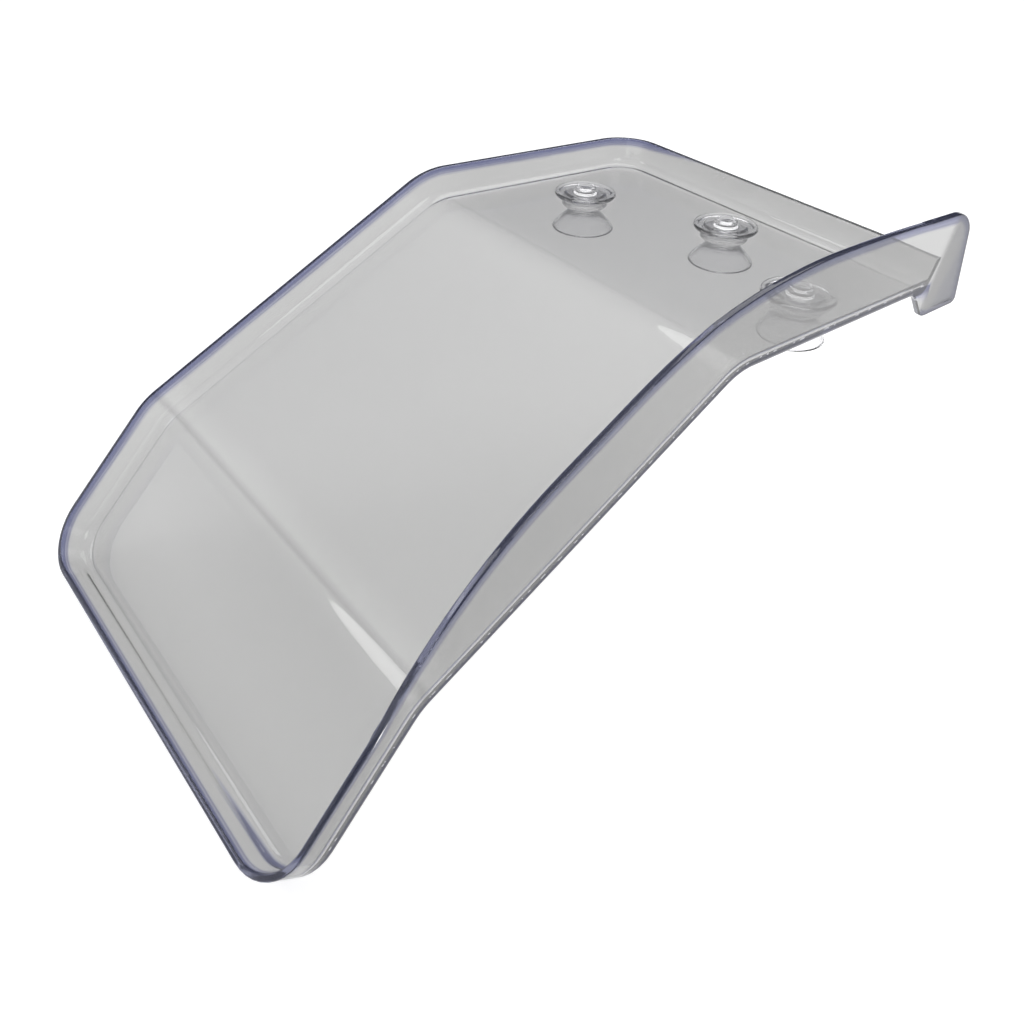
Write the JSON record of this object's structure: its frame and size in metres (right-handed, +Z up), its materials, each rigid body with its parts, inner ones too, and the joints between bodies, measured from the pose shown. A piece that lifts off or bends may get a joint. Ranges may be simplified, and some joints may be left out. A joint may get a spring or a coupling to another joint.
{
  "type": "sneeze guard",
  "caption": "Clear moulded tray-shaped guard in three flats with raised rims, a hooked tab at one back corner, and suction cups through its top flat.",
  "frame": {"origin": "on the plane that the suction cups stick to, midway between the three cups", "axes": "+Z up out of the top flat, -Y forward and down the slope, +X towards the tall rim and its tab"},
  "size_m": [0.2284, 0.3566, 0.1768],
  "materials": {
    "clear_sheet": "polished, clear, faint grey",
    "clear_cup": "clear soft plastic, slightly hazy"
  },
  "bodies": {
    "guard": {"guard_shell": "clear_sheet"},
    "left_cup": {"left_suction_cup": "clear_cup"},
    "middle_cup": {"middle_suction_cup": "clear_cup"},
    "right_cup": {"right_suction_cup": "clear_cup"}
  },
  "joints": [
    {"name": "left_cup_turn", "type": "hinge", "parent": "guard", "child": "left_cup", "pos_m": [-0.0665, -0.0095, 0.016], "axis": [0, 0, 1], "continuous": true},
    {"name": "middle_cup_turn", "type": "hinge", "parent": "guard", "child": "middle_cup", "pos_m": [0, 0.019, 0.016], "axis": [0, 0, 1], "continuous": true},
    {"name": "right_cup_turn", "type": "hinge", "parent": "guard", "child": "right_cup", "pos_m": [0.0665, -0.0095, 0.016], "axis": [0, 0, 1], "continuous": true}
  ]
}
